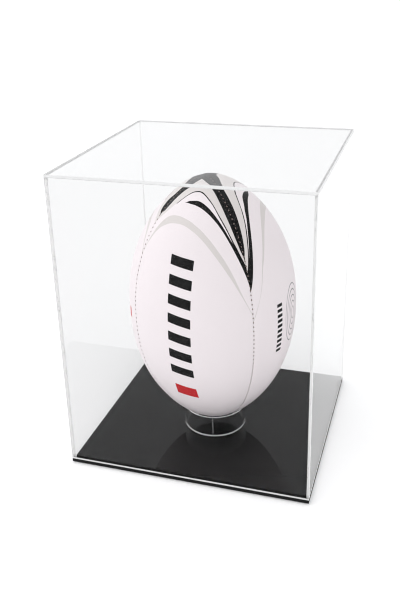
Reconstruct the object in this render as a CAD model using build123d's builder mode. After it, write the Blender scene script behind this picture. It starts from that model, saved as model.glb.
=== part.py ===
from build123d import *
import math
import os

# Display case for an oval ball. A clear five-sided cover lifts off a black base, and a clear
# ring on the base stands the ball on its end. Sizes are in millimetres and angles in degrees.
# +Z is up and -Y is the front. The origin is at the middle of the case's footprint, on the
# surface that the case stands on.

# Case: five clear sheets, cemented edge to edge
CASE_W = 270.0
CASE_D = 255.0
COVER_H = 334.0
SHEET_T = 3.0
CEMENT_T = 0.1
EDGE_BEVEL = 0.3

# Base: a plate the size of the cover, a smaller plate that locates the cover, and four feet
BASE_T = 4.0
LOCATOR_T = 3.0
LOCATOR_GAP = 0.5
LOCATOR_CORNER_R = 1.0
FOOT_R = 5.0
FOOT_H = 1.0
FOOT_INSET = 18.0
FOOT_ROUND = 0.3

# Ring: a strip bent into a hoop and joined end to end, standing a little forward of the middle
RING_X = 1.0
RING_Y = -13.5
RING_R = 36.3
RING_WALL = 3.0
RING_H = 26.2
RING_JOINT_ANGLE = -78.0
RING_JOINT_GAP = 0.3

# Ball: four sewn panels over a bladder. Its outline is r = BALL_R * (1 - |z / BALL_HALF| ** END) ** SIDE
BALL_R = 94.3
BALL_HALF = 146.7
END_POWER = 2.165
SIDE_POWER = 0.613
OUTLINE_STEPS = 10
PANEL_T = 2.5
SEAM_ARC = 1.0
SEAM_DEPTH = 0.4
FRONT_PANEL_ANGLE = -92.0
BLADDER_T = 0.6
SEAT_GAP = 0.05
VALVE_R = 4.0
VALVE_RECESS = 0.3
VALVE_FLANGE_R = 8.0
VALVE_FLANGE_T = 1.5
VALVE_FLANGE_GAP = 0.5
NEEDLE_R = 0.6
NEEDLE_DEPTH = 3.0

# Heights and places that follow from them
BASE_Z = FOOT_H
RIM_Z = BASE_Z + BASE_T
FLOOR_Z = RIM_Z + LOCATOR_T
TOP_Z = RIM_Z + COVER_H
WALL_H = COVER_H - SHEET_T - CEMENT_T
SIDE_LENGTH = CASE_D - 2 * (SHEET_T + CEMENT_T)
RING_INNER_R = RING_R - RING_WALL
RING_TOP_Z = FLOOR_Z + RING_H

os.makedirs("parts", exist_ok=True)


# ---------------------------------------------------------------- base

with BuildPart() as base_plate:
    with BuildSketch(Plane.XY.offset(BASE_Z)):
        Rectangle(CASE_W, CASE_D)
    extrude(amount=BASE_T)
    chamfer(base_plate.edges().group_by(Axis.Z)[-1], EDGE_BEVEL)
    chamfer(base_plate.edges().group_by(Axis.Z)[0], EDGE_BEVEL)

base_plate.part.label = "base_plate"
export_step(base_plate.part, "parts/base_plate.step")


with BuildPart() as locating_plate:
    with BuildSketch(Plane.XY.offset(RIM_Z)):
        RectangleRounded(
            CASE_W - 2 * (SHEET_T + LOCATOR_GAP),
            CASE_D - 2 * (SHEET_T + LOCATOR_GAP),
            LOCATOR_CORNER_R,
        )
    extrude(amount=LOCATOR_T)
    chamfer(locating_plate.edges().group_by(Axis.Z)[-1], EDGE_BEVEL)

locating_plate.part.label = "locating_plate"
export_step(locating_plate.part, "parts/locating_plate.step")


foot_x = CASE_W / 2 - FOOT_INSET
foot_y = CASE_D / 2 - FOOT_INSET
foot_places = {
    "front_left": (-foot_x, -foot_y),
    "front_right": (foot_x, -foot_y),
    "back_left": (-foot_x, foot_y),
    "back_right": (foot_x, foot_y),
}

for corner, (x, y) in foot_places.items():
    with BuildPart() as foot:
        with BuildSketch(Plane.XY.move(Location((x, y, 0)))):
            Circle(FOOT_R)
        extrude(amount=FOOT_H)
        fillet(foot.edges().group_by(Axis.Z)[0], FOOT_ROUND)

    foot.part.label = f"foot_{corner}"
    export_step(foot.part, f"parts/foot_{corner}.step")


# ---------------------------------------------------------------- cover

# The front and back sheets are as wide as the case, and the side sheets stand between them.
for name, side in (("front", -1), ("back", 1)):
    with BuildPart() as wall:
        with BuildSketch(Plane.XY.offset(RIM_Z)):
            with Locations((0, side * (CASE_D - SHEET_T) / 2)):
                Rectangle(CASE_W, SHEET_T)
        extrude(amount=WALL_H)
        outer_face = wall.faces().sort_by(Axis.Y)[0 if side < 0 else -1]
        chamfer(outer_face.edges().filter_by(Axis.Z), EDGE_BEVEL)

    wall.part.label = f"cover_{name}"
    export_step(wall.part, f"parts/cover_{name}.step")

for name, side in (("left", -1), ("right", 1)):
    with BuildPart() as wall:
        with BuildSketch(Plane.XY.offset(RIM_Z)):
            with Locations((side * (CASE_W - SHEET_T) / 2, 0)):
                Rectangle(SHEET_T, SIDE_LENGTH)
        extrude(amount=WALL_H)

    wall.part.label = f"cover_{name}"
    export_step(wall.part, f"parts/cover_{name}.step")

with BuildPart() as cover_top:
    with BuildSketch(Plane.XY.offset(TOP_Z - SHEET_T)):
        Rectangle(CASE_W, CASE_D)
    extrude(amount=SHEET_T)
    chamfer(cover_top.edges().group_by(Axis.Z)[-1], EDGE_BEVEL)

cover_top.part.label = "cover_top"
export_step(cover_top.part, "parts/cover_top.step")

# Cement joins each side sheet's ends to the front and back sheets, and the top to all four walls.
for name_y, side_y in (("front", -1), ("back", 1)):
    for name_x, side_x in (("left", -1), ("right", 1)):
        with BuildPart() as cement:
            with BuildSketch(Plane.XY.offset(RIM_Z)):
                cement_x = side_x * (CASE_W - SHEET_T) / 2
                cement_y = side_y * (SIDE_LENGTH + CEMENT_T) / 2
                with Locations((cement_x, cement_y)):
                    Rectangle(SHEET_T, CEMENT_T)
            extrude(amount=WALL_H)

        cement.part.label = f"cement_{name_y}_{name_x}"
        export_step(cement.part, f"parts/cement_{name_y}_{name_x}.step")

with BuildPart() as cement_top:
    with BuildSketch(Plane.XY.offset(RIM_Z + WALL_H)):
        Rectangle(CASE_W, CASE_D)
        Rectangle(CASE_W - 2 * SHEET_T, CASE_D - 2 * SHEET_T, mode=Mode.SUBTRACT)
    extrude(amount=CEMENT_T)

cement_top.part.label = "cement_top"
export_step(cement_top.part, "parts/cement_top.step")


# ---------------------------------------------------------------- ring

ring_plane = Plane(origin=(RING_X, RING_Y, FLOOR_Z))
ring_middle_r = RING_R - RING_WALL / 2

with BuildPart() as support_ring:
    with BuildSketch(ring_plane):
        Circle(RING_R)
        Circle(RING_INNER_R, mode=Mode.SUBTRACT)
        with PolarLocations(ring_middle_r, 1, start_angle=RING_JOINT_ANGLE):
            Rectangle(2 * RING_WALL, RING_JOINT_GAP, mode=Mode.SUBTRACT)
    extrude(amount=RING_H)

support_ring.part.label = "support_ring"
export_step(support_ring.part, "parts/support_ring.step")

with BuildPart() as ring_joint:
    with BuildSketch(ring_plane):
        Circle(RING_R)
        Circle(RING_INNER_R, mode=Mode.SUBTRACT)
        with PolarLocations(ring_middle_r, 1, start_angle=RING_JOINT_ANGLE):
            Rectangle(2 * RING_WALL, RING_JOINT_GAP, mode=Mode.INTERSECT)
    extrude(amount=RING_H)

ring_joint.part.label = "ring_joint_cement"
export_step(ring_joint.part, "parts/ring_joint_cement.step")


# ---------------------------------------------------------------- ball

# The ball rests where its outline is as wide as the ring's inner edge.
seat_share = (1 - (RING_INNER_R / BALL_R) ** (1 / SIDE_POWER)) ** (1 / END_POWER)
BALL_Z = RING_TOP_Z + BALL_HALF * seat_share + SEAT_GAP
BALL_AXIS = Axis((RING_X, RING_Y, BALL_Z), (0, 0, 1))


def meridian_plane(angle):
    """The upright plane through the ball's axis, with its X pointing out at angle."""
    c, s = math.cos(math.radians(angle)), math.sin(math.radians(angle))
    return Plane(origin=(RING_X, RING_Y, BALL_Z), x_dir=(c, s, 0), z_dir=(s, -c, 0))


def outline(depth):
    """Points (r, z) of the ball's outline from its lower end to its upper end, depth inside its surface."""
    points = []
    for step in range(-OUTLINE_STEPS, OUTLINE_STEPS + 1):
        turn = abs(step) / OUTLINE_STEPS * math.pi / 2
        r = (BALL_R - depth) * math.cos(turn) ** (2 * SIDE_POWER) if abs(step) < OUTLINE_STEPS else 0.0
        z = math.copysign((BALL_HALF - depth) * math.sin(turn) ** (2 / END_POWER), step)
        points.append((r, z))
    return points


def ball_slice(start, arc, outer_depth, inner_depth):
    """The ball's wall between two depths, from the angle start through arc."""
    outer, inner = outline(outer_depth), outline(inner_depth)
    with BuildPart() as slice_part:
        with BuildSketch(meridian_plane(start)):
            with BuildLine():
                Spline(*outer)
                Spline(*inner)
                Line(outer[0], inner[0])
                Line(outer[-1], inner[-1])
            make_face()
        revolve(axis=BALL_AXIS, revolution_arc=arc)
    return slice_part.part


valve_angle = math.radians(FRONT_PANEL_ANGLE + 180)
valve_out = Vector(math.cos(valve_angle), math.sin(valve_angle), 0)
ball_centre = Vector(RING_X, RING_Y, BALL_Z)

# Panels are named by the side that they face, and seams by the panels that they join.
panel_arc = 90 - SEAM_ARC
for index, name in enumerate(("front", "right", "back", "left")):
    panel_start = FRONT_PANEL_ANGLE + 90 * index - panel_arc / 2
    with BuildPart() as panel:
        add(ball_slice(panel_start, panel_arc, 0, PANEL_T))
        if name == "back":
            with BuildSketch(Plane(origin=ball_centre, z_dir=valve_out)):
                Circle(VALVE_R)
            extrude(amount=BALL_R + PANEL_T, mode=Mode.SUBTRACT)

    panel.part.label = f"ball_panel_{name}"
    export_step(panel.part, f"parts/ball_panel_{name}.step")

for index, name in enumerate(("front_right", "back_right", "back_left", "front_left")):
    seam_start = FRONT_PANEL_ANGLE + 45 + 90 * index - SEAM_ARC / 2
    with BuildPart() as seam:
        add(ball_slice(seam_start, SEAM_ARC, SEAM_DEPTH, PANEL_T))

    seam.part.label = f"ball_seam_{name}"
    export_step(seam.part, f"parts/ball_seam_{name}.step")

with BuildPart() as bladder:
    add(ball_slice(FRONT_PANEL_ANGLE, 360, PANEL_T, PANEL_T + BLADDER_T))
    with BuildSketch(Plane(origin=ball_centre, z_dir=valve_out)):
        Circle(VALVE_R)
    extrude(amount=BALL_R, mode=Mode.SUBTRACT)

bladder.part.label = "ball_bladder"
export_step(bladder.part, "parts/ball_bladder.step")

valve_top_r = BALL_R - VALVE_RECESS
flange_top_r = BALL_R - PANEL_T - BLADDER_T - VALVE_FLANGE_GAP

with BuildPart() as valve:
    with BuildSketch(Plane(origin=ball_centre + valve_out * flange_top_r, z_dir=valve_out)):
        Circle(VALVE_FLANGE_R)
    extrude(amount=-VALVE_FLANGE_T)
    with BuildSketch(Plane(origin=ball_centre + valve_out * flange_top_r, z_dir=valve_out)):
        Circle(VALVE_R)
    extrude(amount=valve_top_r - flange_top_r)
    with BuildSketch(Plane(origin=ball_centre + valve_out * valve_top_r, z_dir=valve_out)):
        Circle(NEEDLE_R)
    extrude(amount=-NEEDLE_DEPTH, mode=Mode.SUBTRACT)

valve.part.label = "ball_valve"
export_step(valve.part, "parts/ball_valve.step")
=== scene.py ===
import itertools
import math

import bmesh
import bpy
import numpy as np
from mathutils import Matrix, Vector


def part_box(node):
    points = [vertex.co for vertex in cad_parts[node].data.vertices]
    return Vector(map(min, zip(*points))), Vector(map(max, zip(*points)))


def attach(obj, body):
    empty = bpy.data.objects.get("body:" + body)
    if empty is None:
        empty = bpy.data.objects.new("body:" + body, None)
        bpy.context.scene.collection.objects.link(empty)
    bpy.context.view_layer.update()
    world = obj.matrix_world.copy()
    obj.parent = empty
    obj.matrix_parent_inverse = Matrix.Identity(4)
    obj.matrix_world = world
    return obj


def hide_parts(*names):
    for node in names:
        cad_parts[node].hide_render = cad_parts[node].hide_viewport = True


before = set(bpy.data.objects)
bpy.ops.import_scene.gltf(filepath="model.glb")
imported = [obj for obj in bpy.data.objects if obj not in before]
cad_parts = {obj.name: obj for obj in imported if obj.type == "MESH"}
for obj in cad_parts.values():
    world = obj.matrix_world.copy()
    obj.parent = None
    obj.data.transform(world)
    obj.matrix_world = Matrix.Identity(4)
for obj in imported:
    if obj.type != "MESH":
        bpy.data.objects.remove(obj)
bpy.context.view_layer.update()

# Looks of the display case and its ball. Everything is in metres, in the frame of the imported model:
# +Z up, -Y to the front. Sizes known in millimetres are multiplied by MM. Only the print on the ball
# is laid out in plain millimetres and degrees, which each panel carries in its "place" attribute.
# Known fault: the back panel loses its values when the valve hole is cut, and renders all black.
MM = 0.001

# Camera: where it aims, how far away it stands and how it is turned
AIM = Vector((-0.0171, 0.0, 0.2228))
CAMERA_DISTANCE = 0.8802
CAMERA_YAW = 18.02
CAMERA_PITCH = 21.45
CAMERA_ROLL = -1.65
CAMERA_LENS = 46.506
CAMERA_SHIFT_Y = -0.0853

# Light: where the brightest side of the room and the lamp are, how bright the room is away from that
# side and on it, and the lamp
KEY_FROM = Vector((-0.78, -0.18, 0.55)).normalized()
WORLD_COLOUR = (0.985, 0.99, 1.0)
WORLD_DIM = 0.71
WORLD_BRIGHT = 1.35
SUN_STRENGTH = 0.4
SUN_ANGLE = 60.0

# Floor: half its width, and the squares along it
FLOOR_HALF = 30.0
FLOOR_STEPS = 24

# Ball: the outline r = BALL_R * (1 - |z / BALL_HALF| ** END_POWER) ** SIDE_POWER, as in the CAD model
END_POWER = 2.165
SIDE_POWER = 0.613
FRONT_PANEL_ANGLE = -91.4
PATTERN_LEAN_BACK = 1.0
PATTERN_LEAN_LEFT = 3.0
PANEL_ROWS = 620
PANEL_COLUMNS = 60
PANEL_T = 2.4 * MM
PANEL_END = 1.2 * MM
COLUMN_CROWDING = 2.2

# Close to its ends the ball is hardly wider than a seam. Half a width over the radius stays below
# this
MOST_OF_RADIUS = 0.7

# Seams: half the gap between two panels, away from the stitches and at one, and how quickly it opens
# there. Then the hollows along a seam
EDGE_GAP = 0.02 * MM
HOLE_GAP = 0.8 * MM
HOLE_SHARPNESS = 3
GROOVE_DEPTH = 0.3 * MM
GROOVE_WIDTH = 1.3 * MM
PILLOW_DEPTH = 0.35 * MM
PILLOW_WIDTH = 6.0 * MM
PUCKER_DEPTH = 0.2 * MM
PUCKER_WIDTH = 1.4 * MM

# Stitches: they start SEAM_END from the end of a seam, and each is narrower at its two tips
STITCH_PITCH = 5.0 * MM
STITCH_R = 0.6 * MM
STITCH_REACH = 0.45 * MM
STITCH_LEAN = 0.15 * MM
STITCH_DEPTH = 0.78 * MM
STITCH_DIVE = 0.5 * MM
STITCH_TIP = 0.55
STITCH_STEPS = 9
STITCH_SIDES = 10
SEAM_END = 12.0 * MM

# The folded panel edges that close a seam at the bottom
FOLD_END = 3.0 * MM
FOLD_HALF_WIDTH = 0.75 * MM
FOLD_HEM = 0.12 * MM
FOLD_TOP = 1.25 * MM
FOLD_BOTTOM = 2.3 * MM
FOLD_ROWS = 360
FOLD_COLUMNS = 7

# Valve hole through the back panel
VALVE_HOLE_R = 4.15 * MM
VALVE_CUT_REACH = 12 * MM
VALVE_CUT_STEPS = 48

# Cement: slabs inside the joints, this share of a joint's thickness, drawn in at the rim, and thinner
# in places by up to CEMENT_SWELL
CEMENT_FILL = 0.6
CEMENT_TRIM = 0.04 * MM
CEMENT_STEPS = 60
CEMENT_SWELL = 0.25

# Clear acrylic. A sheet's flat faces mirror little and bend light little, so that what stands behind
# a sheet shows clearly at a slant too. The hoop is plain acrylic. SAW_FROST is how matt a cut edge is.
# A face counts as flat where its normal is at least FLAT_FACING along the axis in question.
SHEET_TINT = (0.905, 0.905, 0.905, 1)
SHEET_GLOSS = 0.13
SHEET_IOR = 1.15
HOOP_GLOSS = 1.0
ACRYLIC_IOR = 1.49
SAW_FROST = 0.85
FLAT_FACING = 0.9

# Bevel on the sheets' edges and corners, and the air left under the sheets and the hoop
SHEET_BEVEL = 0.22 * MM
LIFT = 0.04 * MM

# Hoop: its wall, the radius of its rounded edges, its steps round, and how white its outer rounded
# edges are painted, as a highlight line
HOOP_WALL = 3.0 * MM
HOOP_CORNER = 0.7 * MM
HOOP_STEPS = 256
HOOP_EDGE_PAINTED_HIGHLIGHT = 0.95

# The hoop's joint: half the gap, half the cement in it, and the film squeezed out over the outside
JOINT_HALF_GAP = 0.15 * MM
JOINT_HALF_FILL = 0.1 * MM
JOINT_INSET = 0.05 * MM
JOINT_CORNER = 0.2 * MM
FILM_HALF_WIDTH = 0.55 * MM
FILM_OUTSIDE = 0.03 * MM
FILM_INSIDE = 0.01 * MM
FILM_CORNER = 0.005 * MM


# ---------------------------------------------------------------- camera, light and floor

def add_camera():
    """The camera, turned by its roll about the line to the point it aims at."""
    yaw, pitch, roll = (math.radians(a) for a in (CAMERA_YAW, CAMERA_PITCH, CAMERA_ROLL))
    level = math.cos(pitch)
    back = Vector((math.sin(yaw) * level, -math.cos(yaw) * level, math.sin(pitch)))
    right = Vector((math.cos(yaw), math.sin(yaw), 0))
    up = back.cross(right)
    turned_right = math.cos(roll) * right + math.sin(roll) * up
    turned_up = math.cos(roll) * up - math.sin(roll) * right
    place = Matrix((turned_right, turned_up, back)).transposed().to_4x4()
    place.translation = AIM + back * CAMERA_DISTANCE
    data = bpy.data.cameras.new("camera")
    data.lens = CAMERA_LENS
    data.shift_y = CAMERA_SHIFT_Y
    data.clip_end = 100.0
    camera = bpy.data.objects.new("camera", data)
    camera.matrix_world = place
    bpy.context.scene.collection.objects.link(camera)
    bpy.context.scene.camera = camera


def add_light():
    """A white room, brighter on the side that the light comes from, and a wide soft lamp."""
    world = bpy.data.worlds.new("studio")
    world.use_nodes = True
    nodes, links = world.node_tree.nodes, world.node_tree.links
    background = nodes["Background"]
    background.inputs["Color"].default_value = (*WORLD_COLOUR, 1)
    facing = nodes.new("ShaderNodeVectorMath")
    facing.operation = "DOT_PRODUCT"
    facing.inputs[1].default_value = KEY_FROM
    links.new(nodes.new("ShaderNodeTexCoord").outputs["Generated"], facing.inputs[0])
    spread = nodes.new("ShaderNodeMapRange")
    for name, value in (("From Min", -1.0), ("To Min", WORLD_DIM), ("To Max", WORLD_BRIGHT)):
        spread.inputs[name].default_value = value
    links.new(facing.outputs["Value"], spread.inputs["Value"])
    links.new(spread.outputs["Result"], background.inputs["Strength"])
    bpy.context.scene.world = world
    data = bpy.data.lights.new("softbox", "SUN")
    data.energy = SUN_STRENGTH
    data.angle = math.radians(SUN_ANGLE)
    light = bpy.data.objects.new("softbox", data)
    light.rotation_euler = KEY_FROM.to_track_quat("Z", "Y").to_euler()
    bpy.context.scene.collection.objects.link(light)


def set_render_look():
    """Plain colours, and enough bounces to look through every clear sheet and the hoop."""
    scene = bpy.context.scene
    scene.view_settings.view_transform = "Standard"
    scene.cycles.max_bounces = 96
    scene.cycles.transmission_bounces = 96
    scene.cycles.transparent_max_bounces = 48
    scene.cycles.glossy_bounces = 96
    scene.cycles.diffuse_bounces = 4
    scene.cycles.filter_width = 1.1


# ---------------------------------------------------------------- materials

class Shader:
    """A material being made. Each call adds a node and gives back its output."""

    def __init__(self, name):
        self.material = bpy.data.materials.new(name)
        self.material.use_nodes = True
        self.nodes = self.material.node_tree.nodes
        self.links = self.material.node_tree.links
        self.nodes.clear()

    def plug(self, socket, value):
        if isinstance(value, bpy.types.NodeSocket):
            self.links.new(value, socket)
        else:
            socket.default_value = value

    def node(self, kind, settings=None, **inputs):
        made = self.nodes.new("ShaderNode" + kind)
        for key, value in (settings or {}).items():
            setattr(made, key, value)
        for key, value in inputs.items():
            self.plug(made.inputs[key.replace("_", " ")], value)
        return made

    def math(self, operation, *values, clamp=False):
        made = self.node("Math", {"operation": operation, "use_clamp": clamp})
        for socket, value in zip(made.inputs, values):
            self.plug(socket, value)
        return made.outputs[0]

    def add(self, a, b):
        return self.math("ADD", a, b)

    def subtract(self, a, b):
        return self.math("SUBTRACT", a, b)

    def multiply(self, a, b):
        return self.math("MULTIPLY", a, b)

    def between(self, value, low, high):
        above, below = self.math("GREATER_THAN", value, low), self.math("LESS_THAN", value, high)
        return self.multiply(above, below)

    def either(self, *masks):
        result = masks[0]
        for mask in masks[1:]:
            result = self.math("MAXIMUM", result, mask)
        return result

    def mix(self, share, a, b):
        made = self.node("Mix", {"data_type": "RGBA"})
        self.plug(made.inputs["Factor"], share)
        for socket, value in zip((s for s in made.inputs if s.type == "RGBA"), (a, b)):
            self.plug(socket, value)
        return next(s for s in made.outputs if s.type == "RGBA")

    def place(self):
        return self.node("TexCoord").outputs["Object"]

    def noise(self, scale, detail=3.0, stretch=(1, 1, 1)):
        """Noise from 0 to 1. Its grain is about 1 / scale metres, longer where stretch is small."""
        mapped = self.node("Mapping", Vector=self.place(), Scale=stretch).outputs[0]
        return self.node("TexNoise", Vector=mapped, Scale=scale, Detail=detail).outputs[0]

    def span(self, value, low, high):
        """Value from 0 to 1, stretched to run from low to high."""
        return self.node("MapRange", Value=value, To_Min=low, To_Max=high).outputs[0]

    def curve(self, value, width, height, points):
        """A smooth curve through points, where value runs to width and the result to height."""
        made = self.node("FloatCurve", Value=self.math("DIVIDE", value, width))
        line = made.mapping.curves[0]
        for index, (x, y) in enumerate(points):
            if index < 2:
                line.points[index].location = (x / width, y / height)
            else:
                line.points.new(x / width, y / height)
        for point in line.points:
            point.handle_type = "AUTO_CLAMPED"
        made.mapping.update()
        return self.multiply(made.outputs[0], height)

    def bump(self, height, distance, strength=1.0, normal=None):
        made = self.node("Bump", Height=height, Distance=distance, Strength=strength)
        if normal is not None:
            self.plug(made.inputs["Normal"], normal)
        return made.outputs[0]

    def finish(self, shader):
        output = self.node("OutputMaterial")
        self.links.new(shader, output.inputs["Surface"])
        return self.material


def see_through(s, shader, tint):
    """Lets lamps and scattered light pass straight through a clear piece, dimmed by tint, so that
    they reach the ball."""
    path = s.node("LightPath")
    clear = s.node("BsdfTransparent", Color=(*tint, 1)).outputs[0]
    passing = s.either(path.outputs["Is Shadow Ray"], path.outputs["Is Diffuse Ray"])
    made = s.node("MixShader", Fac=passing)
    s.links.new(shader, made.inputs[1])
    s.links.new(clear, made.inputs[2])
    return made.outputs[0]


def cut_edges(s, axis):
    """1 on the edges of a sheet whose two large faces look along axis, and 0 on those faces."""
    normal = s.node("SeparateXYZ", Vector=s.node("NewGeometry").outputs["Normal"]).outputs[axis]
    return s.math("LESS_THAN", s.math("ABSOLUTE", normal), FLAT_FACING)


def rounded_edges(s, centre):
    """1 on the rounded edges round the outside of a hoop about centre, and 0 on its flat sides and its
    inside edges. It is where the hoop's bright rim line is painted as a highlight.
    """
    normal = s.node("NewGeometry").outputs["Normal"]
    upright = s.node("SeparateXYZ", Vector=normal).outputs["Z"]
    to_axis = (-centre[0], -centre[1], 0)
    from_axis = s.node("Mapping", Vector=s.place(), Location=to_axis, Scale=(1, 1, 0))
    outward = s.node("VectorMath", {"operation": "DOT_PRODUCT"})
    s.plug(outward.inputs[0], normal)
    s.plug(outward.inputs[1], from_axis.outputs[0])
    # Only edges facing away from the axis: the white put on them is a painted highlight
    facing_out = s.math("GREATER_THAN", outward.outputs["Value"], 0.0)
    return s.multiply(s.between(s.math("ABSOLUTE", upright), 0.2, 0.98), facing_out)


def acrylic(s, edge, frost, frost_white_with_painted_light, gloss, ior):
    """Clear acrylic with faint smudges. Where edge is 1 the face was cut: frost, from 0 to 1, is how
    matt the saw left it. The white given for an edge is partly the frosted cut's own white and partly
    painted light and shade, set apart for each sheet and for the hoop's outer edges."""
    saw = s.noise(900.0, 2.0)
    smudge = s.multiply(s.math("POWER", s.noise(14.0, 4.0), 6.0), 0.05)
    rough = s.add(s.multiply(edge, s.span(saw, 0.04, 0.2)), smudge)
    wave = s.bump(s.multiply(edge, s.noise(260.0, 3.0)), 0.1 * MM, 0.3)
    # Edge white: the frosted cut's own white, with painted light and shade on top
    tint = s.mix(edge, SHEET_TINT, (frost_white_with_painted_light, frost_white_with_painted_light, frost_white_with_painted_light * 0.995, 1))
    matt = s.multiply(edge, s.span(saw, frost - 0.12, frost + 0.12))
    clear = s.node(
        "BsdfPrincipled",
        Base_Color=tint,
        Roughness=rough,
        IOR=ior,
        Transmission_Weight=s.subtract(1.0, matt),
        Specular_Tint=(gloss, gloss, gloss, 1),
        Normal=wave,
    ).outputs[0]
    return s.finish(see_through(s, clear, (0.975, 0.975, 0.975)))


def cement(name, thin_haze, thick_haze, white):
    """Set cement: a haze that thickens and thins along the joint, with small clear bubbles. A grey
    ring is painted round each bubble as the shade at its rim."""
    s = Shader(name)
    cells = s.node("TexVoronoi", Vector=s.place(), Scale=420.0).outputs["Distance"]
    wall = s.span(s.noise(40.0, 3.0), -0.6, 0.75)
    filled = s.math("GREATER_THAN", cells, wall)
    haze = s.multiply(s.span(s.noise(120.0, 4.0), thin_haze, thick_haze), filled)
    pale, full = white * 0.95, white * 1.03
    tone = s.mix(s.noise(400.0, 3.0), (pale, pale, pale * 0.995, 1), (full, full, full * 0.995, 1))
    # Painted shade: a grey ring round each bubble
    tone = s.mix(s.math("LESS_THAN", cells, s.add(wall, 0.1)), tone, (0.45, 0.45, 0.45, 1))
    rough = s.span(s.noise(700.0), 0.25, 0.5)
    solid = s.node("BsdfPrincipled", Base_Color=tone, Roughness=rough, IOR=1.45)
    glow = s.node("BsdfTranslucent", Color=tone)
    body = s.node("MixShader", Fac=0.5)
    s.links.new(solid.outputs[0], body.inputs[1])
    s.links.new(glow.outputs[0], body.inputs[2])
    made = s.node("MixShader", Fac=haze)
    s.links.new(s.node("BsdfTransparent").outputs[0], made.inputs[1])
    s.links.new(body.outputs[0], made.inputs[2])
    return s.finish(made.outputs[0])


def black_acrylic():
    """Polished black sheet with a faint haze of handling, fine dust and duller sawn edges."""
    s = Shader("black_acrylic")
    normal = s.node("SeparateXYZ", Vector=s.node("NewGeometry").outputs["Normal"]).outputs["Z"]
    flat = s.math("GREATER_THAN", s.math("ABSOLUTE", normal), FLAT_FACING)
    dust = s.math("GREATER_THAN", s.noise(2600.0, 1.0), 0.74)
    smear = s.noise(22.0, 5.0, (1, 0.5, 1))
    black = s.mix(flat, (0.016, 0.016, 0.016, 1), (0.0105, 0.0105, 0.0105, 1))
    colour = s.mix(s.multiply(dust, 0.12), black, (0.25, 0.25, 0.25, 1))
    rough = s.mix(flat, (0.32, 0.32, 0.32, 1), (0.03, 0.03, 0.03, 1))
    rough = s.add(rough, s.multiply(smear, 0.03))
    gloss = s.multiply(flat, 0.2)
    saw = s.bump(s.noise(1800.0, 2.0, (1, 1, 0.15)), 0.05 * MM, s.span(flat, 0.5, 0.0))
    made = s.node(
        "BsdfPrincipled",
        Base_Color=colour,
        Roughness=rough,
        IOR=ACRYLIC_IOR,
        Specular_IOR_Level=gloss,
        Normal=saw,
    )
    return s.finish(made.outputs[0])


def rubber(name, colour, grain, rough, clear=0.0):
    """Moulded rubber: colour with a slight mottle and a fine grain."""
    s = Shader(name)
    lighter = tuple(min(1.0, c * 1.25 + 0.01) for c in colour)
    tone = s.mix(s.noise(160.0, 4.0), (*colour, 1), (*lighter, 1))
    skin = s.bump(s.noise(grain, 3.0), 0.05 * MM, 0.5)
    made = s.node(
        "BsdfPrincipled",
        Base_Color=tone,
        Roughness=s.span(s.noise(500.0), rough - 0.08, rough + 0.08),
        Subsurface_Weight=clear,
        Subsurface_Radius=(2 * MM, 2 * MM, 2 * MM),
        Normal=skin,
    )
    return s.finish(made.outputs[0])


def thread():
    """Waxed thread, two plies twisted together. Its dark brown is partly the thread's own colour and
    partly painted shade of the stitch holes.
    """
    s = Shader("waxed_thread")
    diagonal = {"bands_direction": "DIAGONAL"}
    turn = s.node("TexWave", diagonal, Vector=s.place(), Scale=900.0, Distortion=1.0)
    tone = s.mix(s.noise(300.0), (0.19, 0.14, 0.125, 1), (0.29, 0.225, 0.2, 1))
    ply = s.bump(turn.outputs["Fac"], 0.08 * MM, 0.7)
    made = s.node("BsdfPrincipled", Base_Color=tone, Roughness=0.55, Normal=ply)
    return s.finish(made.outputs[0])


def seam_core():
    """The folded panel edges at the bottom of a seam: raw backing cloth, coloured dark brown as
    painted shade at the bottom of the seam.
    """
    s = Shader("seam_backing_painted_shade")
    weave = s.noise(2200.0, 2.0)
    tone = s.mix(weave, (0.06, 0.04, 0.036, 1), (0.14, 0.10, 0.092, 1))
    cloth = s.bump(weave, 0.1 * MM, 0.6)
    made = s.node("BsdfPrincipled", Base_Color=tone, Roughness=0.9, Normal=cloth)
    return s.finish(made.outputs[0])


WHITE_SKIN = (0.875, 0.812, 0.83, 1)
MOTTLED_SKIN = (0.84, 0.775, 0.794, 1)
WARM_GREY = (0.725, 0.683, 0.67, 1)
PALE_GREY = (0.70, 0.66, 0.645, 1)
PRINT_BLACK = (0.006, 0.006, 0.0062, 1)
PRINT_GREY = (0.12, 0.12, 0.125, 1)
PRINT_RED = (0.55, 0.03, 0.035, 1)

# Spans of the print's curves: mm of surface from end to end, degrees across a panel, and mm of
# half width that a wedge may have
ARC_SPAN = 380.0
QUARTER = 90.0
WEDGE_SPAN = 20.0

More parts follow.
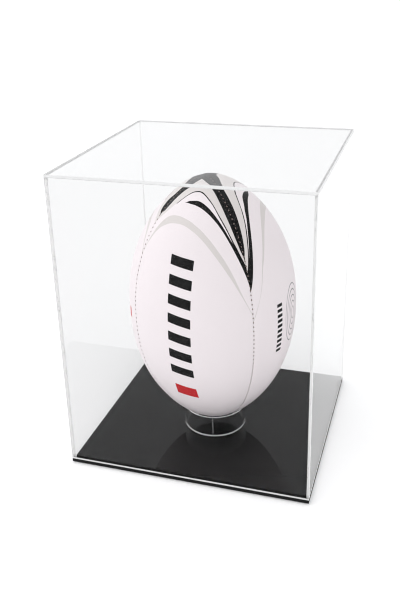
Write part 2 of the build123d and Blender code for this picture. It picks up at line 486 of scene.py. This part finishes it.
# Print outlines on a panel: how far down from the top end (mm of surface) each lies, for each angle
# from the seam where the bands meet. Front and back share one layout, and the two sides the other.
WIDE_PRINT = {
    "thick_top": ((0, 122), (2.5, 111), (5, 101.5), (7.8, 92), (11, 80.2), (15.2, 68.6),
                  (20.4, 58.7), (24.3, 53.6), (30.8, 48.1), (38.3, 45.2), (48, 45), (56, 47.2),
                  (90, 58)),
    "thick_foot": ((0, 143), (2.3, 127.5), (5.6, 110.3), (9.7, 93), (13.9, 79.6), (19.8, 67.9),
                   (28, 58), (37, 52), (46.5, 48.9), (56, 47.2), (90, 57)),
    "thin_top": ((0, 125), (3, 108), (6.4, 91.5), (9, 78.4), (13.2, 62.6), (16, 53.2), (22, 42),
                 (30, 34.3), (42, 32.2), (56, 36.1), (69, 47.4), (90, 75)),
    "thin_foot": ((0, 131), (3, 113.5), (6.4, 96.5), (9, 83), (13.2, 66.5), (16, 56.4),
                  (22, 44.8), (30, 36.5), (42, 33.7), (56, 37.5), (69, 48.9), (90, 76)),
    "pale_top": ((0, 174), (5.3, 153), (12.6, 120.5), (19, 102), (27, 86), (38, 73), (50, 65.6),
                 (62, 63), (72, 65.5), (80, 75.6), (85, 90), (90, 110)),
    "pale_foot": ((0, 175), (7.3, 148.7), (14.6, 125), (23, 104), (31, 89.5), (42, 78),
                  (53, 72.5), (61, 72), (71, 75), (78, 81), (85, 96), (90, 113)),
}
SIDE_PRINT = {
    "thick_top": ((0, 133), (4, 113.3), (7.5, 97.5), (10.8, 85.8), (14.6, 75.7), (18.1, 67.3),
                  (20.8, 63.1), (27.6, 54.4), (34.2, 50.6), (44, 49), (54, 51.5), (90, 62)),
    "thick_foot": ((0, 150), (2.7, 137.4), (6.9, 114.3), (10.3, 98.7), (13.7, 86.8),
                   (17.8, 76.8), (22.7, 68.7), (30.5, 60.8), (37, 57), (46, 54.6), (56, 52),
                   (90, 62)),
    "thin_top": ((0, 129), (3, 113.5), (6, 97.5), (9.35, 83.4), (12, 73), (14.5, 64.5),
                 (17.4, 55.6), (22.2, 46.6), (27, 41.8), (35, 37.2), (45, 35.2), (61, 40.8),
                 (70, 49.3), (90, 77)),
    "thin_foot": ((0, 135), (3, 118.5), (6, 102), (9.35, 87.4), (12, 76.8), (14.5, 67.8),
                  (17.4, 58.4), (22.2, 49), (27, 43.8), (35, 38.7), (45, 36.6), (61, 42.3),
                  (70, 50.8), (90, 78)),
    "pale_top": ((0, 180), (7.6, 150.6), (12, 128), (16.4, 113), (22, 98), (29.5, 85),
                 (39, 75.5), (50, 70.5), (60, 69.5), (72, 74), (82, 85), (90, 112)),
    "pale_foot": ((0, 182), (9, 146), (12, 131.5), (16, 119.5), (20.4, 108), (28, 94),
                  (41, 82.5), (52, 79), (62, 79.5), (72, 83), (82, 92), (90, 114)),
}
# Half widths (mm) of the black wedges on the seams, down from the top end
LONG_WEDGE = ((0, 9), (20, 8), (29, 6.2), (38, 5.6), (55, 5.8), (68, 5.6), (76, 5.2), (90, 4.2),
              (104, 2.6), (124, 0), (380, 0))
WIDE_WEDGE = ((0, 12.5), (20, 11.6), (31.5, 8.8), (43.6, 7.2), (55, 5.8), (60.5, 4.3), (69, 0),
              (380, 0))
NARROW_WEDGE = ((0, 6), (14, 6), (21, 3.4), (30, 2.1), (40, 3.1), (52, 5.4), (62, 3.4), (69, 0),
                (380, 0))
# Radius (mm) of the black cap at the ends, how far (degrees) the thick and the thin black band run
# over a panel, and how much of the space between two oval lines a line fills
CAP_R = 14.6
THICK_REACH = 56.0
THIN_REACH = 70.0
RING_LINE = 0.16


def print_masks(s, angle, arc, radius, outlines, wedge):
    """Masks of the printed bands: (black, warm grey, pale grey)."""
    line = {key: s.curve(angle, QUARTER, ARC_SPAN, points) for key, points in outlines.items()}
    from_long = s.multiply(radius, s.math("SINE", s.math("RADIANS", angle)))
    from_short = s.multiply(radius, s.math("COSINE", s.math("RADIANS", angle)))
    thick = s.between(arc, line["thick_top"], line["thick_foot"])
    thick = s.multiply(thick, s.math("LESS_THAN", angle, THICK_REACH))
    thin = s.between(arc, line["thin_top"], line["thin_foot"])
    thin = s.multiply(thin, s.math("LESS_THAN", angle, THIN_REACH))
    long_wedge = s.math("LESS_THAN", from_long, s.curve(arc, ARC_SPAN, WEDGE_SPAN, LONG_WEDGE))
    short_wedge = s.math("LESS_THAN", from_short, s.curve(arc, ARC_SPAN, WEDGE_SPAN, wedge))
    cap = s.math("LESS_THAN", radius, CAP_R)
    black = s.either(thick, thin, long_wedge, short_wedge, cap)
    grey = s.math("LESS_THAN", arc, line["thin_top"])
    return black, grey, s.between(arc, line["pale_top"], line["pale_foot"])


def bar_column(s, across, arc, start, pitch, count, thick, half_width, slant):
    """A column of slanted bars down a panel."""
    along = s.subtract(arc, s.add(s.multiply(across, slant), start))
    in_column = s.between(along, 0.0, pitch * count)
    in_bar = s.math("LESS_THAN", s.math("FLOORED_MODULO", along, pitch), thick)
    in_width = s.math("LESS_THAN", s.math("ABSOLUTE", across), half_width)
    return s.multiply(s.multiply(in_column, in_bar), in_width)


def across_panel(s, angle, middle, radius):
    """How far (mm) a point lies across a panel from the line at the angle middle."""
    return s.multiply(s.math("RADIANS", s.subtract(angle, middle)), radius)


def ring_motif(s, across, arc, middle, half_width, half_height, rings):
    """Thin concentric oval lines."""
    x = s.math("POWER", s.math("DIVIDE", across, half_width), 2.0)
    y = s.math("POWER", s.math("DIVIDE", s.subtract(arc, middle), half_height), 2.0)
    out = s.multiply(s.math("SQRT", s.add(x, y)), rings)
    line = s.math("LESS_THAN", s.math("FLOORED_MODULO", out, 1.0), RING_LINE)
    return s.multiply(line, s.between(out, 0.5, rings + 0.5))


def ball_skin(name, marks):
    """Pebbled synthetic leather with printed bands, and the marks of one panel."""
    s = Shader(name)
    place = s.node("Attribute", {"attribute_name": "place"}).outputs["Vector"]
    angle, arc, radius = s.node("SeparateXYZ", Vector=place).outputs
    wide = marks in ("front", "back")
    outlines, wedge = (WIDE_PRINT, WIDE_WEDGE) if wide else (SIDE_PRINT, NARROW_WEDGE)
    black, grey, pale = print_masks(s, angle, arc, radius, outlines, wedge)
    mottle = s.noise(60.0, 4.0)
    colour = s.mix(s.multiply(mottle, 0.3), WHITE_SKIN, MOTTLED_SKIN)
    colour = s.mix(pale, colour, PALE_GREY)
    colour = s.mix(grey, colour, WARM_GREY)
    ink = black
    if marks == "front":
        # The middle of the column of bars shifts a little round the ball on its way down
        middle = s.add(s.multiply(arc, 0.035), 42.3)
        across = across_panel(s, middle, angle, radius)
        bars = bar_column(
            s, across, arc, start=107.0, pitch=20.4, count=7, thick=10.5, half_width=12.8, slant=0.25
        )
        ink = s.either(ink, bars)
        red = bar_column(
            s, across, arc, start=258.0, pitch=30.0, count=1, thick=16.0, half_width=12.0, slant=0.25
        )
        colour = s.mix(red, colour, PRINT_RED)
    if marks == "right":
        across = across_panel(s, angle, 22.4, radius)
        dashes = bar_column(
            s, across, arc, start=172.0, pitch=6.0, count=10, thick=3.6, half_width=4.2, slant=0.0
        )
        ink = s.either(ink, dashes)
        across = across_panel(s, angle, 40.5, radius)
        rings = ring_motif(s, across, arc, middle=194.0, half_width=18.0, half_height=33.0, rings=5.0)
        colour = s.mix(rings, colour, PRINT_GREY)
    if marks == "left":
        across = across_panel(s, angle, 79.0, radius)
        red = bar_column(
            s, across, arc, start=180.0, pitch=30.0, count=1, thick=12.0, half_width=3.0, slant=0.0
        )
        colour = s.mix(red, colour, PRINT_RED)
    colour = s.mix(ink, colour, PRINT_BLACK)
    grid = s.node("CombineXYZ", X=s.multiply(s.math("RADIANS", angle), radius), Y=arc).outputs[0]
    flat_cells = {"voronoi_dimensions": "2D"}
    pebble = s.node("TexVoronoi", flat_cells, Vector=grid, Scale=0.62, Randomness=0.35)
    dome = s.math("SUBTRACT", 0.55, pebble.outputs["Distance"], clamp=True)
    skin = s.bump(s.noise(3000.0, 3.0), 0.03 * MM, 0.25, s.bump(dome, 0.22 * MM, 0.35))
    rough = s.add(s.span(mottle, 0.4, 0.52), s.multiply(ink, -0.06))
    made = s.node(
        "BsdfPrincipled",
        Base_Color=colour,
        Roughness=rough,
        Specular_IOR_Level=0.15,
        Normal=skin,
    )
    return s.finish(made.outputs[0])


def stage_floor():
    """Pale paper, lifted a little towards white."""
    s = Shader("studio_floor")
    paper = s.node("BsdfDiffuse", Color=(0.90, 0.90, 0.90, 1))
    lit = s.node("Emission", Color=(1, 1, 1, 1), Strength=0.08)
    made = s.node("AddShader")
    s.links.new(paper.outputs[0], made.inputs[0])
    s.links.new(lit.outputs[0], made.inputs[1])
    return s.finish(made.outputs[0])


# ---------------------------------------------------------------- meshes

def add_piece(name, points, faces, material, body=None, replaces=(), smooth=True):
    """A mesh piece that rides on a body. With no body it is part of the stage."""
    mesh = bpy.data.meshes.new(name)
    mesh.from_pydata([tuple(p) for p in points], [], faces)
    mesh.polygons.foreach_set("use_smooth", [smooth] * len(mesh.polygons))
    mesh.materials.append(material)
    mesh.validate()
    mesh.update()
    piece = bpy.data.objects.new(name, mesh)
    bpy.context.scene.collection.objects.link(piece)
    if body is None:
        return piece
    face_outward(mesh)
    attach(piece, body)
    if replaces:
        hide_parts(*replaces)
    return piece


def face_outward(mesh):
    """Turns every face of a closed mesh outward."""
    work = bmesh.new()
    work.from_mesh(mesh)
    bmesh.ops.recalc_face_normals(work, faces=work.faces)
    work.to_mesh(mesh)
    work.free()


def dress(node, material):
    """Gives a CAD node a material."""
    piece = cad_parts[node]
    if not piece.material_slots:
        piece.data.materials.append(material)
    for place in piece.material_slots:
        place.material = material


def grid_faces(rows, columns, start=0, wrap=False, flip=False):
    """Quads of a grid of points, row by row. With wrap, each row closes on itself."""
    faces = []
    for i in range(rows - 1):
        for j in range(columns if wrap else columns - 1):
            k = (j + 1) % columns
            face = [start + i * columns + j, start + i * columns + k]
            face += [start + (i + 1) * columns + k, start + (i + 1) * columns + j]
            faces.append(face[::-1] if flip else face)
    return faces


def closed_pair(rows, columns):
    """Faces of an outer and an inner grid of points of one size, joined round their rims."""
    count = rows * columns
    faces = grid_faces(rows, columns, flip=True) + grid_faces(rows, columns, count)
    last = (rows - 1) * columns
    rim = list(range(columns)) + [i * columns + columns - 1 for i in range(1, rows)]
    rim += [last + j for j in range(columns - 2, -1, -1)]
    rim += [i * columns for i in range(rows - 2, 0, -1)]
    for a, b in zip(rim, rim[1:] + rim[:1]):
        faces.append([a, b, b + count, a + count])
    return faces


def join(parts):
    """One list of points and faces from several."""
    points, faces = [], []
    for part_points, part_faces in parts:
        base = len(points)
        points.extend(part_points)
        faces.extend([base + i for i in face] for face in part_faces)
    return points, faces


# ---------------------------------------------------------------- case

CORNERS = ("front_left", "front_right", "back_left", "back_right")
TOP_CEMENT_SEED = 10


def slab(low, high, seed):
    """A thin slab between two corners, whose thin side swells and thins a little on its way."""
    low, high = np.array(low), np.array(high)
    size = high - low
    thin, narrow, long = (int(a) for a in np.argsort(size))
    rng = np.random.default_rng(seed)
    swell = 1 - CEMENT_SWELL * rng.random(CEMENT_STEPS + 1)
    # An oblong with its corners cut off
    section = (
        (-1, -0.7), (-0.6, -1), (0.6, -1), (1, -0.7), (1, 0.7), (0.6, 1), (-0.6, 1), (-1, 0.7)
    )
    points = []
    for i in range(CEMENT_STEPS + 1):
        for u, v in section:
            p = (low + high) / 2
            p[long] = low[long] + size[long] * i / CEMENT_STEPS
            p[narrow] += u * size[narrow] / 2
            p[thin] += v * size[thin] / 2 * swell[i]
            points.append(tuple(p))
    count = len(section)
    faces = grid_faces(CEMENT_STEPS + 1, count, wrap=True)
    faces.append(list(range(count))[::-1])
    faces.append([CEMENT_STEPS * count + j for j in range(count)])
    return points, faces


def inside(node):
    """The box of a CAD node, thinned to CEMENT_FILL of its thickness and drawn in at its rim."""
    low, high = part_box(node)
    low, high = np.array(low), np.array(high)
    size = high - low
    thin = int(np.argmin(size))
    for axis in range(3):
        trim = size[thin] * (1 - CEMENT_FILL) / 2 if axis == thin else CEMENT_TRIM
        low[axis] += trim
        high[axis] -= trim
    return low, high


def sheet(low, high, bevel):
    """A flat sheet with all its edges and corners bevelled."""
    points, index = [], {}
    corners = list(itertools.product((0, 1), repeat=3))
    for corner in corners:
        for axis in range(3):
            index[corner, axis] = len(points)
            points.append([
                (low, high)[side][i] + (0.0 if i == axis else bevel * (1 - 2 * side))
                for i, side in enumerate(corner)
            ])
    faces = [[index[corner, axis] for axis in range(3)] for corner in corners]
    for axis in range(3):
        first, second = [i for i in range(3) if i != axis]
        for edge in itertools.product((0, 1), repeat=2):
            start, end = [(*edge[:axis], side, *edge[axis:]) for side in (0, 1)]
            around = ((start, first), (start, second), (end, second), (end, first))
            faces.append([index[place] for place in around])
        for side in (0, 1):
            turns = ((0, 0), (1, 0), (1, 1), (0, 1))
            around = [(*turn[:axis], side, *turn[axis:]) for turn in turns]
            faces.append([index[corner, axis] for corner in around])
    return points, faces


def build_cover():
    """The five sheets, each with its own whiteness of edge, which paints light and shade, and the
    cement between them.
    """
    # Edge whiteness per sheet is painted light and shade: the top's edges darker, the left and right
    # whiter than the front and back
    for node, axis, frost_white_with_painted_light in (
        ("front", "Y", 0.9),
        ("back", "Y", 0.9),
        ("left", "X", 0.98),
        ("right", "X", 0.98),
        ("top", "Z", 0.77),
    ):
        low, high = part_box(f"cover_{node}")
        points, faces = sheet(low + Vector((0, 0, LIFT)), high, SHEET_BEVEL)
        s = Shader(f"clear_sheet_{node}")
        clear = acrylic(s, cut_edges(s, axis), SAW_FROST, frost_white_with_painted_light, SHEET_GLOSS, SHEET_IOR)
        name, replaced = f"sheet_{node}", [f"cover_{node}"]
        add_piece(name, points, faces, clear, "cover", replaced, smooth=False)
    # Cement whiteness is set for each joint to paint light and shade: the wall joints whiter, the top
    # joint darker
    set_cement = cement("wall_cement", thin_haze=0.84, thick_haze=0.98, white=0.92)
    for seed, corner in enumerate(CORNERS):
        points, faces = slab(*inside(f"cement_{corner}"), seed)
        name, replaced = f"cement_line_{corner}", [f"cement_{corner}"]
        add_piece(name, points, faces, set_cement, "cover", replaced)
    low, high = inside("cement_top")
    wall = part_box("cover_front")[1].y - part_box("cover_front")[0].y
    parts = []
    for seed, (x0, y0, x1, y1) in enumerate((
        (low[0], low[1], high[0], low[1] + wall),
        (low[0], high[1] - wall, high[0], high[1]),
        (low[0], low[1] + wall, low[0] + wall, high[1] - wall),
        (high[0] - wall, low[1] + wall, high[0], high[1] - wall),
    ), TOP_CEMENT_SEED):
        parts.append(slab((x0, y0, low[2]), (x1, y1, high[2]), seed))
    points, faces = join(parts)
    # The top joint's cement is painted darker: painted shade
    top_cement_painted_shade = cement("top_cement_painted_shade", thin_haze=0.8, thick_haze=0.98, white=0.68)
    add_piece("cement_line_top", points, faces, top_cement_painted_shade, "cover", ["cement_top"])


def build_base():
    """The base stays as the CAD model has it, with its materials put on."""
    black = black_acrylic()
    dress("base_plate", black)
    dress("locating_plate", black)
    foot = rubber("foot_rubber", (0.42, 0.42, 0.42), grain=1500.0, rough=0.5, clear=0.3)
    for corner in CORNERS:
        dress(f"foot_{corner}", foot)


# ---------------------------------------------------------------- ring

def hoop(centre, outer, inner, low, high, start, end, corner, steps):
    """A bent strip with rounded edges, from the angle start to the angle end. Each flat side has a
    point close to each end, which keeps the shading of the rounding off the flat."""
    profile = []
    for r, z, turn in ((outer, high, 0), (inner, high, 90), (inner, low, 180), (outer, low, 270)):
        corner_r = r - corner if r == outer else r + corner
        corner_z = z - corner if z == high else z + corner
        for step in range(-1, 5):
            a = math.radians(turn + 30 * min(max(step, 0), 3))
            past = corner * 0.2 * (min(step, 0) + max(step - 3, 0))
            out_r = corner * math.cos(a) - past * math.sin(a)
            out_z = corner * math.sin(a) + past * math.cos(a)
            profile.append((corner_r + out_r, corner_z + out_z))
    points = []
    for i in range(steps + 1):
        a = start + (end - start) * i / steps
        for r, z in profile:
            points.append((centre[0] + r * math.cos(a), centre[1] + r * math.sin(a), z))
    count = len(profile)
    faces = grid_faces(steps + 1, count, wrap=True, flip=True)
    faces.append(list(range(count)))
    faces.append([steps * count + j for j in range(count)][::-1])
    return points, faces


def build_ring():
    """The hoop, and its joint: cement between the two ends and a film squeezed out over them."""
    low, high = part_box("support_ring")
    joint_low, joint_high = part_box("ring_joint_cement")
    centre = ((low.x + high.x) / 2, (low.y + high.y) / 2)
    outer = (high.x - low.x) / 2
    joint = (joint_low + joint_high) / 2
    angle = math.atan2(joint.y - centre[1], joint.x - centre[0])
    foot, inner = low.z + LIFT, outer - HOOP_WALL
    gap = JOINT_HALF_GAP / outer
    turn = (angle + gap, angle - gap + math.tau)
    points, faces = hoop(centre, outer, inner, foot, high.z, *turn, HOOP_CORNER, HOOP_STEPS)
    s = Shader("clear_hoop")
    edge = rounded_edges(s, centre)
    # The outer rounded edges are painted white as the hoop's highlight line
    clear = acrylic(s, edge, SAW_FROST, HOOP_EDGE_PAINTED_HIGHLIGHT, HOOP_GLOSS, ACRYLIC_IOR)
    ring = add_piece("clear_hoop", points, faces, clear, "ring", ["support_ring"])
    ring.data.polygons.foreach_set("use_smooth", [len(f.vertices) == 4 for f in ring.data.polygons])
    top = high.z - JOINT_INSET
    fill = JOINT_HALF_FILL / outer
    filled = hoop(
        centre, outer - JOINT_INSET, inner + JOINT_INSET, foot, top,
        angle - fill, angle + fill, JOINT_CORNER, 2,
    )
    squeezed = FILM_HALF_WIDTH / outer
    film = hoop(
        centre, outer + FILM_OUTSIDE, outer + FILM_INSIDE, foot, top,
        angle - squeezed, angle + squeezed, FILM_CORNER, 4,
    )
    points, faces = join([filled, film])
    set_cement = cement("hoop_cement", thin_haze=0.12, thick_haze=0.3, white=0.8)
    replaced = ["ring_joint_cement"]
    add_piece("hoop_joint", points, faces, set_cement, "ring", replaced)


# ---------------------------------------------------------------- ball

PANELS = ("front", "right", "back", "left")
SEAMS = ("front_right", "back_right", "back_left", "front_left")

ball_boxes = [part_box(f"ball_panel_{name}") for name in PANELS]
ball_low = np.min([np.array(b[0]) for b in ball_boxes], axis=0)
ball_high = np.max([np.array(b[1]) for b in ball_boxes], axis=0)
BALL_CENTRE = (ball_low + ball_high) / 2
BALL_R = (ball_high[0] - ball_low[0]) / 2
BALL_HALF = (ball_high[2] - ball_low[2]) / 2

# The pattern's axis leans a little from upright. The seams and the print follow it, on the same
# outline.
lean_back, lean_left = math.radians(PATTERN_LEAN_BACK), math.radians(PATTERN_LEAN_LEFT)
LEAN = np.array(Matrix.Rotation(lean_left, 3, "Y") @ Matrix.Rotation(lean_back, 3, "X"))

outline_turn = np.linspace(math.pi / 2, -math.pi / 2, 4001)
outline_z = BALL_HALF * np.sign(outline_turn) * np.abs(np.sin(outline_turn)) ** (2 / END_POWER)
outline_r = BALL_R * (1 - np.abs(outline_z / BALL_HALF) ** END_POWER) ** SIDE_POWER
outline_arc = np.concatenate([[0], np.cumsum(np.hypot(np.diff(outline_r), np.diff(outline_z)))])
ARC_LENGTH = float(outline_arc[-1])


# A point of the leaning pattern is brought onto the outline by halving between these scales
LEAST_SCALE = 0.7
MOST_SCALE = 1.4
HALVINGS = 40


def radius_at(arc):
    """The ball's radius at a distance along the surface from its top end."""
    return np.interp(arc, outline_arc, outline_r)


def skin(angle, arc, depth):
    """Points on the ball at an angle round the pattern's axis and a distance from the pattern's top
    end, depth below the surface. The pattern leans and the outline doesn't, so each point is scaled
    until it lies on the outline."""
    angle, arc, depth = np.broadcast_arrays(angle, arc, depth)
    z, r = np.interp(arc, outline_arc, outline_z), radius_at(arc)
    leaning = np.stack([r * np.cos(angle), r * np.sin(angle), z], -1) @ LEAN
    out, up = np.hypot(leaning[..., 0], leaning[..., 1]), np.abs(leaning[..., 2])
    low, high = np.full_like(out, LEAST_SCALE), np.full_like(out, MOST_SCALE)
    for _ in range(HALVINGS):
        scale = (low + high) / 2
        level = (out * scale / BALL_R) ** (1 / SIDE_POWER) + (up * scale / BALL_HALF) ** END_POWER
        high = np.where(level > 1, scale, high)
        low = np.where(level > 1, low, scale)
    point = leaning * scale[..., None]
    side = (out * scale / BALL_R) ** (1 / SIDE_POWER - 1) / SIDE_POWER / BALL_R
    end = END_POWER * (up * scale / BALL_HALF) ** (END_POWER - 1) / BALL_HALF
    out = np.maximum(out, 1e-9)
    outward = leaning[..., :2] * (side / out)[..., None]
    normal = np.concatenate([outward, (end * np.sign(leaning[..., 2]))[..., None]], -1)
    normal /= np.linalg.norm(normal, axis=-1, keepdims=True)
    return BALL_CENTRE + point - normal * depth[..., None]


def stitch_beat(arc):
    """1 at each stitch and 0 halfway to the next."""
    return 0.5 + 0.5 * np.cos(2 * math.pi * (arc - SEAM_END) / STITCH_PITCH)


def seam_gap(arc):
    """Half the width of the gap between two panels, which opens round each stitch."""
    return EDGE_GAP + (HOLE_GAP - EDGE_GAP) * stitch_beat(arc) ** HOLE_SHARPNESS


def surface_depth(from_seam, arc):
    """How far the skin dips near a seam: a narrow groove, a broad fall, a pucker at each stitch."""
    groove = GROOVE_DEPTH * np.exp(-((from_seam / GROOVE_WIDTH) ** 2))
    pillow = PILLOW_DEPTH * np.exp(-((from_seam / PILLOW_WIDTH) ** 2))
    pucker = PUCKER_DEPTH * stitch_beat(arc) * np.exp(-((from_seam / PUCKER_WIDTH) ** 2))
    return groove + pillow + pucker


def build_panel(index, name):
    """One panel: an outer skin with its edges turned down into the seams, and its inner face. Its
    columns lie closer together towards the seams."""
    start = math.radians(FRONT_PANEL_ANGLE + 90 * index - 45)
    arc = np.linspace(PANEL_END, ARC_LENGTH - PANEL_END, PANEL_ROWS)[:, None]
    radius = radius_at(arc)
    trim = np.arcsin(np.clip(seam_gap(arc) / radius, 0, MOST_OF_RADIUS))
    step = np.linspace(-1, 1, PANEL_COLUMNS)
    share = 0.5 + 0.5 * np.sign(step) * (1 - (1 - np.abs(step)) ** COLUMN_CROWDING)
    swing = trim + (math.pi / 2 - 2 * trim) * share[None, :]
    from_seam = radius * np.sin(np.minimum(swing, math.pi / 2 - swing))
    outer = skin(start + swing, arc, surface_depth(from_seam, arc))
    inner = skin(start + swing, arc, np.full_like(swing, PANEL_T))
    points = np.concatenate([outer.reshape(-1, 3), inner.reshape(-1, 3)])
    faces = closed_pair(PANEL_ROWS, PANEL_COLUMNS)
    title, replaced = f"ball_skin_{name}", [f"ball_panel_{name}"]
    leather = ball_skin(title, name)
    piece = add_piece(title, points, faces, leather, "ball", replaced)
    from_long = math.pi / 2 - swing if index % 2 == 0 else swing
    grid = np.stack(np.broadcast_arrays(np.degrees(from_long), arc / MM, radius / MM), -1)
    grid = np.concatenate([grid.reshape(-1, 3)] * 2).astype(np.float32)
    place = piece.data.attributes.new("place", "FLOAT_VECTOR", "POINT")
    place.data.foreach_set("vector", grid.ravel())
    return piece


def cut_valve_hole(piece):
    """Cuts the hole for the valve through the back panel. Known fault: the cut leaves the panel's
    "place" attribute at zero, which the print takes for the black cap at the ball's end."""
    low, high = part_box("ball_valve")
    centre = Vector(((low.x + high.x) / 2, high.y, (low.z + high.z) / 2))
    out, up = (centre - Vector(BALL_CENTRE)).normalized(), Vector((0, 0, 1))
    across = out.cross(up).normalized()
    points = []
    for side in (-1, 1):
        for i in range(VALVE_CUT_STEPS):
            a = 2 * math.pi * i / VALVE_CUT_STEPS
            from_middle = VALVE_HOLE_R * (math.cos(a) * across + math.sin(a) * up)
            points.append(centre + out * side * VALVE_CUT_REACH + from_middle)
    faces = grid_faces(2, VALVE_CUT_STEPS, wrap=True)
    faces.append(list(range(VALVE_CUT_STEPS))[::-1])
    faces.append([VALVE_CUT_STEPS + i for i in range(VALVE_CUT_STEPS)])
    mesh = bpy.data.meshes.new("valve_cutter")
    mesh.from_pydata([tuple(p) for p in points], [], faces)
    cutter = bpy.data.objects.new("valve_cutter", mesh)
    bpy.context.scene.collection.objects.link(cutter)
    cut = piece.modifiers.new("hole", "BOOLEAN")
    cut.object = cutter
    cut.operation = "DIFFERENCE"
    cut.solver = "EXACT"
    bpy.context.view_layer.update()
    holed = piece.evaluated_get(bpy.context.evaluated_depsgraph_get())
    solid = bpy.data.meshes.new_from_object(holed)
    piece.modifiers.clear()
    piece.data = solid
    bpy.data.objects.remove(cutter)


def tube(path, radius, sides):
    """A round bar along a short path, narrower and closed at both ends."""
    points = []
    for i, here in enumerate(path):
        ahead = path[min(i + 1, len(path) - 1)] - path[max(i - 1, 0)]
        ahead /= np.linalg.norm(ahead)
        side = np.cross(ahead, here - BALL_CENTRE)
        side /= np.linalg.norm(side)
        over = np.cross(side, ahead)
        size = radius * (STITCH_TIP if i in (0, len(path) - 1) else 1.0)
        for j in range(sides):
            a = 2 * math.pi * j / sides
            points.append(here + size * (math.cos(a) * side + math.sin(a) * over))
    faces = grid_faces(len(path), sides, wrap=True)
    faces.append(list(range(sides))[::-1])
    faces.append([(len(path) - 1) * sides + j for j in range(sides)])
    return points, faces


def build_seam(index, name, core_material, thread_material):
    """The folded edges at the bottom of a seam, and the stitches that run along it. Each stitch lies
    slightly aslant and dives at both ends."""
    angle = math.radians(FRONT_PANEL_ANGLE + 45 + 90 * index)
    arc = np.linspace(FOLD_END, ARC_LENGTH - FOLD_END, FOLD_ROWS)[:, None]
    across = np.linspace(-1, 1, FOLD_COLUMNS)[None, :] * FOLD_HALF_WIDTH
    swing = angle + np.arcsin(np.clip(across / radius_at(arc), -MOST_OF_RADIUS, MOST_OF_RADIUS))
    hem = FOLD_HEM * np.cos(across / FOLD_HALF_WIDTH * 2 * math.pi)
    top = skin(swing, arc, FOLD_TOP + hem)
    bottom = skin(swing, arc, np.full_like(swing, FOLD_BOTTOM))
    points = np.concatenate([top.reshape(-1, 3), bottom.reshape(-1, 3)])
    faces = closed_pair(FOLD_ROWS, FOLD_COLUMNS)
    title, replaced = f"seam_fold_{name}", [f"ball_seam_{name}"]
    add_piece(title, points, faces, core_material, "ball", replaced)
    reach = np.linspace(-1, 1, STITCH_STEPS)
    depth = STITCH_DEPTH + STITCH_DIVE * np.abs(reach) ** 3
    parts = []
    for at in np.arange(SEAM_END, ARC_LENGTH - SEAM_END, STITCH_PITCH):
        turn = angle + reach * STITCH_LEAN / radius_at(at)
        parts.append(tube(skin(turn, at + reach * STITCH_REACH, depth), STITCH_R, STITCH_SIDES))
    points, faces = join(parts)
    add_piece(f"seam_stitches_{name}", points, faces, thread_material, "ball")


def build_ball():
    """The four panels, the four seams between them, and the bladder and valve behind them."""
    for index, name in enumerate(PANELS):
        piece = build_panel(index, name)
        if name == "back":
            cut_valve_hole(piece)
    core, waxed = seam_core(), thread()
    for index, name in enumerate(SEAMS):
        build_seam(index, name, core, waxed)
    dress("ball_bladder", rubber("bladder_rubber", (0.03, 0.03, 0.03), grain=400.0, rough=0.6))
    dress("ball_valve", rubber("valve_rubber", (0.02, 0.02, 0.02), grain=1500.0, rough=0.5))


def build_floor():
    """The plain floor, which is part of the stage."""
    line = [FLOOR_HALF * 2 * i / FLOOR_STEPS - FLOOR_HALF for i in range(FLOOR_STEPS + 1)]
    points = [(x, y, 0.0) for y in line for x in line]
    faces = grid_faces(len(line), len(line))
    add_piece("studio_floor", points, faces, stage_floor(), smooth=False)


add_camera()
add_light()
set_render_look()
build_floor()
build_base()
build_cover()
build_ring()
build_ball()
